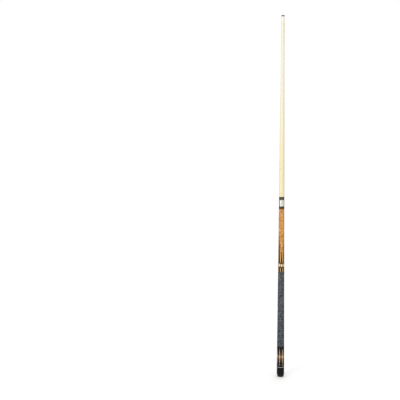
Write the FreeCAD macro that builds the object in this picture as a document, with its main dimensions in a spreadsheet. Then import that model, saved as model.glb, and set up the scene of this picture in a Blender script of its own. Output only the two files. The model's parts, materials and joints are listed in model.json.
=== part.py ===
import FreeCAD, Part
import os
import Sketcher
from FreeCAD import Vector

# A two-piece pool cue, 1473 mm long, standing on its rubber bumper.
# Origin: centre of the bumper's flat underside. +Z runs up the cue's axis to the leather tip.
# The butt is one straight taper from the parting plane down to the cap, so the rings, sleeve
# and inlays of the butt take their radii from that taper.

doc = FreeCAD.newDocument("pool_cue")
sheet = doc.addObject("Spreadsheet::Sheet", "dims")

# alias, value or sheet formula, note; *_z is a height above the bumper's underside
DIMS = [
    # overall
    ("cue_len", 1473.0, "tip to bumper"),
    ("parting_z", 736.5, "plane where the two halves meet"),
    ("joint_rad", 10.7, "butt taper radius at the parting plane"),
    ("butt_taper", 0.0067, "radius gained per mm down the butt"),
    # bumper and cap
    ("bumper_top_z", 9.0, "bumper flange height, where the cap starts"),
    ("bumper_rad", 13.6, "bumper flange radius"),
    ("bumper_round", 4.0, "rounded lower edge of the bumper"),
    ("bumper_dish_rad", 4.6, "recess in the middle of the bumper"),
    ("bumper_dish_deep", 3.0, "depth of that recess"),
    ("bumper_dish_draw", 1.2, "radius the recess loses from its mouth to its floor"),
    ("plug_rad", 6.45, "bumper plug radius"),
    ("plug_top_z", 21.0, "top of the bumper plug"),
    ("plug_bore_rad", 6.52, "bore in the cap for the plug"),
    ("cap_rad", 15.42, "cylindrical part of the cap"),
    ("cap_lip", 2.2, "rounded lower edge of the cap"),
    ("socket_z", 22.0, "floor of the cap's socket for the handle tenon"),
    ("cap_top_z", 41.5, "top of the cap"),
    ("tenon_rad", 10.0, "lower handle tenon radius"),
    ("ring_top_z", 43.3, "top of the metal butt ring"),
    # butt sleeve and its inlays
    ("sleeve_top_z", 129.0, "top of the butt sleeve"),
    ("inlay_deep", 1.0, "depth of every inlay"),
    ("inlay_start", 6.0, "distance from the axis where inlay prisms start"),
    ("inlay_reach", 14.0, "length of the inlay prisms"),
    ("panel_low_z", 59.0, "lower corner of a gold-brown panel"),
    ("panel_knee_low_z", 73.0, "lower knee of a panel's outline"),
    ("panel_mid_z", 86.0, "widest level of a panel"),
    ("panel_knee_high_z", 100.0, "upper knee of a panel's outline"),
    ("panel_high_z", 111.0, "upper corner of a panel"),
    ("panel_half", 5.2, "half width of a panel"),
    ("panel_knee_half", 4.0, "half width at the knees"),
    ("spear_low_z", 57.2, "lower point of a spear"),
    ("spear_barb_low_z", 64.5, "widest level of a spear's lower arm"),
    ("spear_waist_low_z", 77.5, "lower waist of a spear"),
    ("spear_mid_z", 87.0, "widest level of a spear"),
    ("spear_waist_high_z", 96.5, "upper waist of a spear"),
    ("spear_barb_high_z", 106.0, "widest level of a spear's upper arm"),
    ("spear_high_z", 124.0, "upper point of a spear"),
    ("spear_waist_half", 0.6, "half width at the waists"),
    ("spear_barb_half", 1.15, "half width of the arms"),
    ("spear_mid_half", 2.9, "half width at the middle"),
    ("dot_low_z", 50.5, "lower corner of a dot"),
    ("dot_mid_z", 53.2, "widest level of a dot"),
    ("dot_high_z", 56.0, "upper corner of a dot"),
    ("dot_half", 1.3, "half width of a dot"),
    # wrap
    ("wrap_top_z", 440.0, "top of the linen wrap"),
    ("wrap_thick", 0.8, "thickness of the wound linen"),
    # ring work
    ("window_top_z", 460.6, "top of the ring with the windows"),
    ("oval_top_z", 479.0, "top of the ring with the ovals, base of the points"),
    ("ring_bore_rad", 8.0, "bore of the two decorative rings"),
    ("bar_low_z", 441.3, "lower end of a light bar"),
    ("bar_high_z", 459.4, "upper end of a light bar"),
    ("bar_half", 1.65, "half width of a light bar"),
    ("oval_mid_z", 469.3, "centre of an oval"),
    ("oval_tall", 13.8, "height of an oval"),
    ("oval_wide", 8.3, "width of an oval"),
    # points of the forearm
    ("point_half", 4.3, "half width of a point with its veneer, at the base"),
    ("core_half", 3.68, "half width of the dark core, at the base"),
    ("long_edge_z", 609.0, "upper end of a long point's veneer"),
    ("short_edge_z", 544.0, "upper end of a short point's veneer"),
    ("core_drop", 4.0, "distance from a veneer's upper end down to its core's"),
    ("gem_tall", 10.0, "height of the diamond at a point's end"),
    ("gem_half", 2.1, "half width of that diamond"),
    ("gem_gap", 0.3, "wood left between a veneer and its diamond"),
    # joint
    ("forearm_top_z", 699.4, "top of the forearm's outer surface"),
    ("wood_ring_top_z", 703.2, "top of the dark wooden ring"),
    ("collar_top_z", 711.0, "top of the black ring on the butt"),
    ("steel_rad", 10.8, "steel joint sleeve radius"),
    ("joint_tenon_rad", 7.4, "forearm tenon inside the ring and the steel sleeve"),
    ("joint_tenon_z", 731.0, "top of the forearm tenon"),
    ("pilot_bore_rad", 7.9, "counterbore of the steel sleeve for the pilot"),
    ("pilot_bore_z", 732.0, "floor of that counterbore"),
    ("pilot_rad", 7.84, "pilot of the shaft's insert"),
    ("pilot_z", 732.8, "underside of the pilot"),
    ("pilot_rise", 1.0, "height of the pilot above the parting plane"),
    ("edge_break", 0.3, "broken edges at the joint"),
    ("pin_rad", 3.969, "5/16-18 pin, outside radius of the thread"),
    ("pin_root_rad", 3.15, "root radius of the pin's thread"),
    ("pin_pitch", 1.4111, "18 threads per inch"),
    ("pin_foot_z", 688.0, "lower end of the pin in the forearm"),
    ("pin_thread_z", 735.2, "start of the free thread"),
    ("pin_top_z", 770.0, "free end of the pin"),
    ("insert_rad", 6.0, "insert's outside radius in the shaft"),
    ("insert_bore_rad", 4.05, "insert's bore over the thread crests"),
    ("insert_top_z", 775.0, "top of the insert"),
    # shaft
    ("shaft_collar_z", 749.4, "top of the black collar on the shaft"),
    ("collar_rad", 10.66, "collar radius at the parting plane"),
    ("collar_high_rad", 10.62, "collar radius at its top, and the shaft's above it"),
    ("shaft_tenon_rad", 8.4, "shaft tenon inside the collar"),
    ("run_gap", 0.05, "running clearance between collar and shaft"),
    # ferrule, pad and tip
    ("ferrule_rad", 6.5, "ferrule and tip radius"),
    ("ferrule_low_z", 1447.2, "foot of the ferrule"),
    ("ferrule_high_z", 1467.4, "top of the ferrule"),
    ("ferrule_bore_rad", 4.4, "bore of the ferrule"),
    ("ferrule_tenon_z", 1464.9, "top of the shaft's ferrule tenon"),
    ("pad_top_z", 1468.5, "top of the fibre pad"),
    ("dome_rad", 10.6, "radius of the tip's dome"),
    # weight bolt, 1/2-13, in the butt's end
    ("bolt_rad", 6.3, "outside radius of the bolt's thread"),
    ("bolt_root_rad", 5.25, "root radius of the bolt's thread"),
    ("bolt_pitch", 1.9538, "13 threads per inch"),
    ("bolt_low_z", 42.0, "lower end of the bolt"),
    ("bolt_high_z", 98.0, "upper end of the bolt"),
    ("bolt_bore_z", 104.0, "end of the bolt's bore in the handle"),
    ("bolt_hex", 6.35, "hex socket across the flats"),
    ("bolt_hex_deep", 8.0, "depth of the hex socket"),
    # stud between forearm and handle, 3/8-16
    ("stud_rad", 4.76, "outside radius of the stud's thread"),
    ("stud_root_rad", 3.9, "root radius of the stud's thread"),
    ("stud_pitch", 1.5875, "16 threads per inch"),
    ("stud_low_z", 407.4, "lower end of the stud"),
    ("stud_high_z", 467.4, "upper end of the stud"),
    ("stud_room", 1.0, "air left past each end of the stud"),
    # counts
    ("around", 8.0, "inlays round the cue"),
    ("around_half", "=around / 2", "long points, and short points"),
    ("step_deg", "=360 / around", "angle from one inlay column to the next"),
]

# The shaft's outline between its collar and the ferrule: (height, radius)
SHAFT_STATIONS = [
    (850.0, 10.22), (950.0, 9.58), (1030.0, 8.92), (1110.0, 8.14),
    (1190.0, 7.36), (1265.0, 6.82), (1335.0, 6.56),
]
for number, (height, radius) in enumerate(SHAFT_STATIONS, start=1):
    DIMS.append((f"station_{number}_z", height, f"shaft station {number}"))
    DIMS.append((f"station_{number}_rad", radius, "its radius"))

# Form of a 60 degree thread groove
TAN_30 = 0.5774
GROOVE_HALF = 0.4375  # half width of the groove at the crest, in pitches
GROOVE_OVER = 0.04  # how far the cutting profile stands outside the crest, mm

ROOT_3 = 1.7320508
PLACE_TOLERANCE = 1e-4  # for finding an edge by its radius and height, mm

for row, (alias, value, note) in enumerate(DIMS, start=1):
    sheet.set(f"A{row}", alias)
    sheet.set(f"B{row}", str(value))
    sheet.set(f"C{row}", note)
    sheet.setAlias(f"B{row}", alias)
doc.recompute()


# ---------------------------------------------------------------- sizes tied to the sheet
class Size:
    """A size with its present value and the sheet expression that gives it."""

    def __init__(self, value, text):
        self.value, self.text = value, text

    def _join(self, other, sign, work):
        if not isinstance(other, Size):
            other = Size(other, repr(float(other)))
        return Size(work(self.value, other.value), f"({self.text} {sign} {other.text})")

    def __add__(self, other):
        return self._join(other, "+", lambda a, b: a + b)

    def __sub__(self, other):
        return self._join(other, "-", lambda a, b: a - b)

    def __mul__(self, other):
        return self._join(other, "*", lambda a, b: a * b)

    def __truediv__(self, other):
        return self._join(other, "/", lambda a, b: a / b)


class Dims:
    """Gives each alias of the sheet as a Size: dims.cap_rad."""

    def __getattr__(self, alias):
        return Size(float(sheet.get(alias)), f"dims.{alias}")


dims = Dims()
ZERO = Size(0.0, "0")


def butt_point(z, inset=ZERO):
    """The (radius, height) corner on the butt's taper at z, or inset below its surface."""
    rad = dims.joint_rad + (dims.parting_z - z) * dims.butt_taper
    return (rad - inset, z)


# ---------------------------------------------------------------- sketches
def new_body(label):
    body = doc.addObject("PartDesign::Body", label)
    body.Label = label
    body.AllowCompound = True
    return body


def origin_part(body, role):
    return next(o for o in body.Origin.OriginFeatures if o.Role == role)


def sketch_on(body, role, name, lift=None):
    """A sketch on an origin plane, moved along the plane's normal by lift."""
    sketch = body.newObject("Sketcher::SketchObject", name)
    sketch.AttachmentSupport = [(origin_part(body, role), "")]
    sketch.MapMode = "FlatFace"
    if lift is not None:
        sketch.AttachmentOffset = FreeCAD.Placement(
            Vector(0, 0, lift.value), FreeCAD.Rotation()
        )
        sketch.setExpression("AttachmentOffset.Base.z", lift.text)
    return sketch


def constrain(sketch, kind, *members):
    return sketch.addConstraint(Sketcher.Constraint(kind, *members))


def constrain_size(sketch, name, size, kind, *members):
    """Add a named dimension that follows the sheet."""
    index = constrain(sketch, kind, *members, size.value)
    sketch.renameConstraint(index, name)
    sketch.setExpression(f"Constraints.{name}", size.text)


def place_corner(sketch, line, x, y):
    """Tie the start of a line to (x, y), measured from the sketch's origin."""
    for kind, size, zero_axis, letter in (("DistanceX", x, -2, "x"), ("DistanceY", y, -1, "y")):
        if size.value == 0:
            constrain(sketch, "PointOnObject", line, 1, zero_axis)
        else:
            constrain_size(sketch, f"{letter}{line}", size, kind, -1, 1, line, 1)


def closed_lines(sketch, points):
    corners = [Vector(x.value, y.value, 0) for x, y in points]
    lines = [Part.LineSegment(a, b) for a, b in zip(corners, corners[1:] + corners[:1])]
    sketch.addGeometry(lines, False)
    for i in range(len(lines)):
        constrain(sketch, "Coincident", i, 2, (i + 1) % len(lines), 1)


def outline(sketch, points):
    """A closed polygon with every corner tied to the sheet."""
    closed_lines(sketch, points)
    for i, (x, y) in enumerate(points):
        place_corner(sketch, i, x, y)


def mirrored_outline(sketch, right):
    """A polygon symmetric about the vertical axis, from its +x corners, bottom to top."""
    left = [(Size(-x.value, ""), y) for x, y in reversed(right) if x.value > 0]
    closed_lines(sketch, right + left)
    for i, (x, y) in enumerate(right):
        place_corner(sketch, i, x, y)
    twins = [i for i, (x, y) in enumerate(right) if x.value > 0]
    for k, i in enumerate(reversed(twins)):
        constrain(sketch, "Symmetric", i, 1, len(right) + k, 1, -2)


def oval_outline(sketch, plan):
    """An upright ellipse on the vertical axis, from its middle height, height and width."""
    mid, tall, wide = plan
    ellipse = Part.Ellipse(
        Vector(0, mid.value + tall.value / 2, 0),
        Vector(wide.value / 2, mid.value, 0),
        Vector(0, mid.value, 0),
    )
    oval = sketch.addGeometry(ellipse, False)
    sketch.exposeInternalGeometry(oval)
    major, minor = oval + 1, oval + 2
    constrain(sketch, "PointOnObject", oval, 3, -2)
    constrain_size(sketch, "mid", mid, "DistanceY", -1, 1, oval, 3)
    constrain(sketch, "Vertical", major)
    constrain_size(sketch, "tall", tall, "Distance", major)
    constrain_size(sketch, "wide", wide, "Distance", minor)


def hexagon(sketch, corner_rad):
    """A regular hexagon round the origin, with one corner on the x axis."""
    corners = [
        FreeCAD.Rotation(Vector(0, 0, 1), 60.0 * i).multVec(Vector(corner_rad.value, 0, 0))
        for i in range(6)
    ]
    for i in range(6):
        sketch.addGeometry(Part.LineSegment(corners[i], corners[(i + 1) % 6]), False)
    guide = sketch.addGeometry(
        Part.Circle(Vector(0, 0, 0), Vector(0, 0, 1), corner_rad.value), True
    )
    for i in range(6):
        constrain(sketch, "Coincident", i, 2, (i + 1) % 6, 1)
        constrain(sketch, "PointOnObject", i, 1, guide)
    for i in range(1, 6):
        constrain(sketch, "Equal", 0, i)
    constrain(sketch, "Coincident", guide, 3, -1, 1)
    constrain(sketch, "PointOnObject", 0, 1, -1)
    constrain_size(sketch, "corner", corner_rad, "Radius", guide)


# ---------------------------------------------------------------- solids
def turned(label, points):
    """A piece turned from one closed half profile, given as (radius, height) corners."""
    body = new_body(label)
    sketch = sketch_on(body, "XZ_Plane", f"{label}_profile")
    outline(sketch, points)
    rev = body.newObject("PartDesign::Revolution", f"{label}_turned")
    rev.Profile = (sketch, [""])
    rev.ReferenceAxis = (sketch, ["V_Axis"])
    rev.Angle = 360.0
    return body


def tapered_ring(label, bore, low, high):
    """A ring with a straight bore, whose outside follows the butt's taper."""
    return turned(label, [(bore, low), butt_point(low), butt_point(high), (bore, high)])


def shell(label, depth, low, high):
    """A thin conical shell under the butt's outer surface, from low to high."""
    return turned(
        label,
        [butt_point(low, depth), butt_point(low), butt_point(high), butt_point(high, depth)],
    )


def round_edges(body, kind, size, places):
    """Fillet or chamfer the circular edges that lie at the given (radius, height) places."""
    doc.recompute()
    base = body.Tip
    names = set()
    for rad, z in places:
        for i, edge in enumerate(base.Shape.Edges, start=1):
            curve = edge.Curve
            if (
                isinstance(curve, Part.Circle)
                and abs(curve.Radius - rad.value) < PLACE_TOLERANCE
                and abs(curve.Center.z - z.value) < PLACE_TOLERANCE
            ):
                names.add(f"Edge{i}")
    feature = body.newObject(f"PartDesign::{kind}", f"{body.Label}_{kind.lower()}")
    feature.Base = (base, sorted(names))
    feature.setExpression("Radius" if kind == "Fillet" else "Size", size.text)


def prisms(label, plan, count, first_deg, draw=mirrored_outline):
    """Radial prisms evenly spaced round the axis: the plan of an inlay, pushed outwards.

    The first one faces -Y, turned by first_deg about +Z.
    """
    body = new_body(label)
    sketch = sketch_on(body, "XZ_Plane", f"{label}_plan", dims.inlay_start)
    draw(sketch, plan)
    pad = body.newObject("PartDesign::Pad", f"{label}_pad")
    pad.Profile = (sketch, [""])
    pad.setExpression("Length", dims.inlay_reach.text)
    doc.recompute()
    pattern = body.newObject("PartDesign::PolarPattern", f"{label}_round")
    pattern.Originals = [pad]
    pattern.Axis = (origin_part(body, "Z_Axis"), [""])
    pattern.Angle = 360.0
    pattern.setExpression("Occurrences", count.text)
    body.Tip = pattern
    body.Placement = FreeCAD.Placement(
        Vector(0, 0, 0), FreeCAD.Rotation(Vector(0, 0, 1), first_deg)
    )
    return body


def boolean(kind, label, base, tool):
    result = doc.addObject(f"Part::{kind}", label)
    result.Label = label
    result.Base, result.Tool = base, tool
    return result


def threaded(body, crest, root, pitch, low, high):
    """Cut a right-hand 60 degree thread into a turned rod, from low to high."""
    doc.recompute()
    sketch = sketch_on(body, "XZ_Plane", f"{body.Label}_groove")
    depth = crest - root + GROOVE_OVER
    mouth_half = pitch * GROOVE_HALF + GROOVE_OVER * TAN_30
    root_half = mouth_half - depth * TAN_30
    outline(
        sketch,
        [
            (root, low - root_half),
            (crest + GROOVE_OVER, low - mouth_half),
            (crest + GROOVE_OVER, low + mouth_half),
            (root, low + root_half),
        ],
    )
    groove = body.newObject("PartDesign::SubtractiveHelix", f"{body.Label}_thread")
    groove.Profile = (sketch, [""])
    groove.ReferenceAxis = (sketch, ["V_Axis"])
    groove.Mode = 0  # pitch, height and cone angle
    groove.setExpression("Pitch", pitch.text)
    groove.setExpression("Height", (high - low).text)
    groove.Angle = 0.0
    groove.LeftHanded = False
    groove.Refine = False
    body.Tip = groove


def threaded_rod(label, crest, root, pitch, low, high):
    """A rod with 45 degree ends down to the root, threaded over its whole length."""
    nose = crest - root
    rod = turned(
        label,
        [
            (ZERO, low),
            (root, low),
            (crest, low + nose),
            (crest, high - nose),
            (root, high),
            (ZERO, high),
        ],
    )
    threaded(rod, crest, root, pitch, low - pitch, high + pitch)
    return rod


def disc(label, low, high):
    """A cylinder of the ferrule's radius, from low to high."""
    cylinder = doc.addObject("Part::Cylinder", label)
    cylinder.setExpression("Radius", dims.ferrule_rad.text)
    cylinder.setExpression("Height", (high - low).text)
    cylinder.setExpression("Placement.Base.z", low.text)
    return cylinder


step = dims.step_deg.value

# ---------------------------------------------------------------- bumper and butt cap
bumper = turned(
    "bumper",
    [
        (dims.bumper_dish_rad, ZERO),
        (dims.bumper_rad, ZERO),
        (dims.bumper_rad, dims.bumper_top_z),
        (dims.plug_rad, dims.bumper_top_z),
        (dims.plug_rad, dims.plug_top_z),
        (ZERO, dims.plug_top_z),
        (ZERO, dims.bumper_dish_deep),
        (dims.bumper_dish_rad - dims.bumper_dish_draw, dims.bumper_dish_deep),
    ],
)
round_edges(bumper, "Fillet", dims.bumper_round, [(dims.bumper_rad, ZERO)])

butt_cap = turned(
    "butt_cap",
    [
        (dims.plug_bore_rad, dims.bumper_top_z),
        (dims.cap_rad, dims.bumper_top_z),
        (dims.cap_rad, dims.cap_top_z),
        (dims.tenon_rad, dims.cap_top_z),
        (dims.tenon_rad, dims.socket_z),
        (dims.plug_bore_rad, dims.socket_z),
    ],
)
round_edges(butt_cap, "Fillet", dims.cap_lip, [(dims.cap_rad, dims.bumper_top_z)])

# The ring leads from the cap's cylinder to the butt's taper.
butt_ring = turned(
    "butt_ring",
    [
        (dims.tenon_rad, dims.cap_top_z),
        (dims.cap_rad, dims.cap_top_z),
        butt_point(dims.ring_top_z),
        (dims.tenon_rad, dims.ring_top_z),
    ],
)

# ---------------------------------------------------------------- butt sleeve and its inlays
sleeve_blank = tapered_ring("sleeve_blank", dims.tenon_rad, dims.ring_top_z, dims.sleeve_top_z)
sleeve_skin = shell("sleeve_skin", dims.inlay_deep, dims.ring_top_z, dims.sleeve_top_z)
panel_prisms = prisms(
    "panel_prisms",
    [
        (ZERO, dims.panel_low_z),
        (dims.panel_knee_half, dims.panel_knee_low_z),
        (dims.panel_half, dims.panel_mid_z),
        (dims.panel_knee_half, dims.panel_knee_high_z),
        (ZERO, dims.panel_high_z),
    ],
    dims.around,
    step / 2,
)
spear_prisms = prisms(
    "spear_prisms",
    [
        (ZERO, dims.spear_low_z),
        (dims.spear_barb_half, dims.spear_barb_low_z),
        (dims.spear_waist_half, dims.spear_waist_low_z),
        (dims.spear_mid_half, dims.spear_mid_z),
        (dims.spear_waist_half, dims.spear_waist_high_z),
        (dims.spear_barb_half, dims.spear_barb_high_z),
        (ZERO, dims.spear_high_z),
    ],
    dims.around,
    step / 2,
)
dot_prisms = prisms(
    "dot_prisms",
    [(ZERO, dims.dot_low_z), (dims.dot_half, dims.dot_mid_z), (ZERO, dims.dot_high_z)],
    dims.around,
    step / 2,
)
panel_blank = boolean("Common", "panel_blank", panel_prisms, sleeve_skin)
sleeve_spears = boolean("Common", "sleeve_spears", spear_prisms, sleeve_skin)
sleeve_dots = boolean("Common", "sleeve_dots", dot_prisms, sleeve_skin)
sleeve_panels = boolean("Cut", "sleeve_panels", panel_blank, spear_prisms)
sleeve_a = boolean("Cut", "sleeve_a", sleeve_blank, panel_blank)
sleeve_b = boolean("Cut", "sleeve_b", sleeve_a, sleeve_spears)
butt_sleeve = boolean("Cut", "butt_sleeve", sleeve_b, sleeve_dots)

# ---------------------------------------------------------------- handle and linen wrap
stud_bore_low_z = dims.stud_low_z - dims.stud_room
handle = turned(
    "handle",
    [
        (dims.bolt_rad, dims.socket_z),
        (dims.tenon_rad, dims.socket_z),
        (dims.tenon_rad, dims.sleeve_top_z),
        butt_point(dims.sleeve_top_z, dims.wrap_thick),
        butt_point(dims.wrap_top_z, dims.wrap_thick),
        (dims.stud_rad, dims.wrap_top_z),
        (dims.stud_rad, stud_bore_low_z),
        (ZERO, stud_bore_low_z),
        (ZERO, dims.bolt_bore_z),
        (dims.bolt_rad, dims.bolt_bore_z),
    ],
)
linen_wrap = shell("linen_wrap", dims.wrap_thick, dims.sleeve_top_z, dims.wrap_top_z)

# ---------------------------------------------------------------- weight bolt and stud
weight_bolt = threaded_rod(
    "weight_bolt",
    crest=dims.bolt_rad,
    root=dims.bolt_root_rad,
    pitch=dims.bolt_pitch,
    low=dims.bolt_low_z,
    high=dims.bolt_high_z,
)
doc.recompute()
# The hex socket opens at the bolt's lower end; reversed, the pocket cuts towards +Z.
hex_sketch = sketch_on(weight_bolt, "XY_Plane", "weight_bolt_hex", dims.bolt_low_z)
hexagon(hex_sketch, dims.bolt_hex / ROOT_3)
hex_socket = weight_bolt.newObject("PartDesign::Pocket", "weight_bolt_socket")
hex_socket.Profile = (hex_sketch, [""])
hex_socket.Reversed = True
hex_socket.setExpression("Length", dims.bolt_hex_deep.text)
weight_bolt.Tip = hex_socket

a_joint_stud = threaded_rod(
    "a_joint_stud",
    crest=dims.stud_rad,
    root=dims.stud_root_rad,
    pitch=dims.stud_pitch,
    low=dims.stud_low_z,
    high=dims.stud_high_z,
)

# ---------------------------------------------------------------- ring work above the wrap
ring_skin = shell("ring_skin", dims.inlay_deep, dims.wrap_top_z, dims.oval_top_z)
window_blank = tapered_ring(
    "window_blank", dims.ring_bore_rad, dims.wrap_top_z, dims.window_top_z
)
oval_blank = tapered_ring("oval_blank", dims.ring_bore_rad, dims.window_top_z, dims.oval_top_z)
bar_prisms = prisms(
    "bar_prisms",
    [(dims.bar_half, dims.bar_low_z), (dims.bar_half, dims.bar_high_z)],
    dims.around,
    step / 2,
)
oval_prisms = prisms(
    "oval_prisms",
    (dims.oval_mid_z, dims.oval_tall, dims.oval_wide),
    dims.around,
    0.0,
    draw=oval_outline,
)
window_bars = boolean("Common", "window_bars", bar_prisms, ring_skin)
window_ring = boolean("Cut", "window_ring", window_blank, window_bars)
oval_inlays = boolean("Common", "oval_inlays", oval_prisms, ring_skin)
oval_ring = boolean("Cut", "oval_ring", oval_blank, oval_inlays)

# ---------------------------------------------------------------- forearm and its points
stud_bore_high_z = dims.stud_high_z + dims.stud_room
forearm_blank = turned(
    "forearm_blank",
    [
        (dims.stud_rad, dims.wrap_top_z),
        (dims.ring_bore_rad, dims.wrap_top_z),
        (dims.ring_bore_rad, dims.oval_top_z),
        butt_point(dims.oval_top_z),
        butt_point(dims.forearm_top_z),
        (dims.joint_tenon_rad, dims.forearm_top_z),
        (dims.joint_tenon_rad, dims.joint_tenon_z),
        (dims.pin_rad, dims.joint_tenon_z),
        (dims.pin_rad, dims.pin_foot_z),
        (ZERO, dims.pin_foot_z),
        (ZERO, stud_bore_high_z),
        (dims.stud_rad, stud_bore_high_z),
    ],
)
point_skin = shell("point_skin", dims.inlay_deep, dims.oval_top_z, dims.forearm_top_z)


def point_row(name, edge_z, first_deg):
    """One row of points: their full outlines, dark cores, veneers and end diamonds."""

    def row_prisms(part, plan):
        return prisms(f"{name}_{part}_prisms", plan, dims.around_half, first_deg)

    base_z = dims.oval_top_z
    gem_low_z = edge_z + dims.gem_gap
    edge = row_prisms("edge", [(dims.point_half, base_z), (ZERO, edge_z)])
    core = row_prisms("core", [(dims.core_half, base_z), (ZERO, edge_z - dims.core_drop)])
    gem = row_prisms(
        "gem",
        [
            (ZERO, gem_low_z),
            (dims.gem_half, gem_low_z + dims.gem_tall / 2.0),
            (ZERO, gem_low_z + dims.gem_tall),
        ],
    )
    blank = boolean("Common", f"{name}_blank", edge, point_skin)
    cores = boolean("Common", f"{name}_points", core, point_skin)
    veneers = boolean("Cut", f"{name}_veneers", blank, core)
    gems = boolean("Common", f"{name}_gems", gem, point_skin)
    return blank, cores, veneers, gems


long_blank, long_points, long_veneers, long_gems = point_row("long", dims.long_edge_z, step)
short_blank, short_points, short_veneers, short_gems = point_row(
    "short", dims.short_edge_z, 0.0
)
tip_diamonds = boolean("Fuse", "tip_diamonds", long_gems, short_gems)
forearm_a = boolean("Cut", "forearm_a", forearm_blank, long_blank)
forearm_b = boolean("Cut", "forearm_b", forearm_a, short_blank)
forearm = boolean("Cut", "forearm", forearm_b, tip_diamonds)

# ---------------------------------------------------------------- joint, butt side
forearm_ring = tapered_ring(
    "forearm_ring", dims.joint_tenon_rad, dims.forearm_top_z, dims.wood_ring_top_z
)
# The collar leads from the butt's taper to the steel sleeve.
forearm_collar = turned(
    "forearm_collar",
    [
        (dims.joint_tenon_rad, dims.wood_ring_top_z),
        butt_point(dims.wood_ring_top_z),
        (dims.steel_rad, dims.collar_top_z),
        (dims.joint_tenon_rad, dims.collar_top_z),
    ],
)
joint_sleeve = turned(
    "joint_sleeve",
    [
        (dims.joint_tenon_rad, dims.collar_top_z),
        (dims.steel_rad, dims.collar_top_z),
        (dims.steel_rad, dims.parting_z),
        (dims.pilot_bore_rad, dims.parting_z),
        (dims.pilot_bore_rad, dims.pilot_bore_z),
        (dims.joint_tenon_rad, dims.pilot_bore_z),
    ],
)
round_edges(
    joint_sleeve,
    "Chamfer",
    dims.edge_break,
    [(dims.steel_rad, dims.parting_z), (dims.pilot_bore_rad, dims.parting_z)],
)

# The pin is plain in the forearm and threaded only on its free end.
pin_nose = dims.pin_rad - dims.pin_root_rad
joint_pin = turned(
    "joint_pin",
    [
        (ZERO, dims.pin_foot_z),
        (dims.pin_rad, dims.pin_foot_z),
        (dims.pin_rad, dims.pin_top_z - pin_nose),
        (dims.pin_root_rad, dims.pin_top_z),
        (ZERO, dims.pin_top_z),
    ],
)
threaded(
    joint_pin,
    crest=dims.pin_rad,
    root=dims.pin_root_rad,
    pitch=dims.pin_pitch,
    low=dims.pin_thread_z,
    high=dims.pin_top_z + dims.pin_pitch,
)

# ---------------------------------------------------------------- joint, shaft side
pilot_top_z = dims.parting_z + dims.pilot_rise
shaft_insert = turned(
    "shaft_insert",
    [
        (dims.insert_bore_rad, dims.pilot_z),
        (dims.pilot_rad, dims.pilot_z),
        (dims.pilot_rad, pilot_top_z),
        (dims.insert_rad, pilot_top_z),
        (dims.insert_rad, dims.insert_top_z),
        (dims.insert_bore_rad, dims.insert_top_z),
    ],
)
round_edges(
    shaft_insert,
    "Chamfer",
    dims.edge_break,
    [(dims.pilot_rad, dims.pilot_z), (dims.insert_bore_rad, dims.pilot_z)],
)

collar_bore_rad = dims.shaft_tenon_rad + dims.run_gap
shaft_collar = turned(
    "shaft_collar",
    [
        (collar_bore_rad, dims.parting_z),
        (dims.collar_rad, dims.parting_z),
        (dims.collar_high_rad, dims.shaft_collar_z),
        (collar_bore_rad, dims.shaft_collar_z),
    ],
)
round_edges(shaft_collar, "Chamfer", dims.edge_break, [(dims.collar_rad, dims.parting_z)])

# ---------------------------------------------------------------- shaft, ferrule, pad and tip
seat_z = dims.shaft_collar_z + dims.run_gap
stations = [
    (getattr(dims, f"station_{number}_rad"), getattr(dims, f"station_{number}_z"))
    for number in range(1, len(SHAFT_STATIONS) + 1)
]
shaft = turned(
    "shaft",
    [
        (dims.insert_rad, pilot_top_z),
        (dims.shaft_tenon_rad, pilot_top_z),
        (dims.shaft_tenon_rad, seat_z),
        (dims.collar_high_rad, seat_z),
        *stations,
        (dims.ferrule_rad, dims.ferrule_low_z),
        (dims.ferrule_bore_rad, dims.ferrule_low_z),
        (dims.ferrule_bore_rad, dims.ferrule_tenon_z),
        (ZERO, dims.ferrule_tenon_z),
        (ZERO, dims.insert_top_z),
        (dims.insert_rad, dims.insert_top_z),
    ],
)
ferrule = turned(
    "ferrule",
    [
        (dims.ferrule_bore_rad, dims.ferrule_low_z),
        (dims.ferrule_rad, dims.ferrule_low_z),
        (dims.ferrule_rad, dims.ferrule_high_z),
        (ZERO, dims.ferrule_high_z),
        (ZERO, dims.ferrule_tenon_z),
        (dims.ferrule_bore_rad, dims.ferrule_tenon_z),
    ],
)
tip_pad = disc("tip_pad", dims.ferrule_high_z, dims.pad_top_z)
tip_blank = disc("tip_blank", dims.pad_top_z, dims.cue_len)
tip_dome = doc.addObject("Part::Sphere", "tip_dome")
tip_dome.setExpression("Radius", dims.dome_rad.text)
tip_dome.setExpression("Placement.Base.z", (dims.cue_len - dims.dome_rad).text)
tip = boolean("Common", "tip", tip_blank, tip_dome)

doc.recompute()

# ---------------------------------------------------------------- checks, then one file a piece
NODES = [
    bumper, butt_cap, butt_ring,
    butt_sleeve, sleeve_panels, sleeve_spears, sleeve_dots,
    handle, linen_wrap, weight_bolt, a_joint_stud,
    window_ring, window_bars, oval_ring, oval_inlays,
    forearm, long_points, long_veneers, short_points, short_veneers, tip_diamonds,
    forearm_ring, forearm_collar, joint_sleeve, joint_pin,
    shaft_insert, shaft_collar, shaft, ferrule, tip_pad, tip,
]
VOLUME_TOLERANCE = 0.01  # mm3
THREADED_SHARE = 0.95  # a threaded pin holds less than this share of its plain rod

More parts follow.
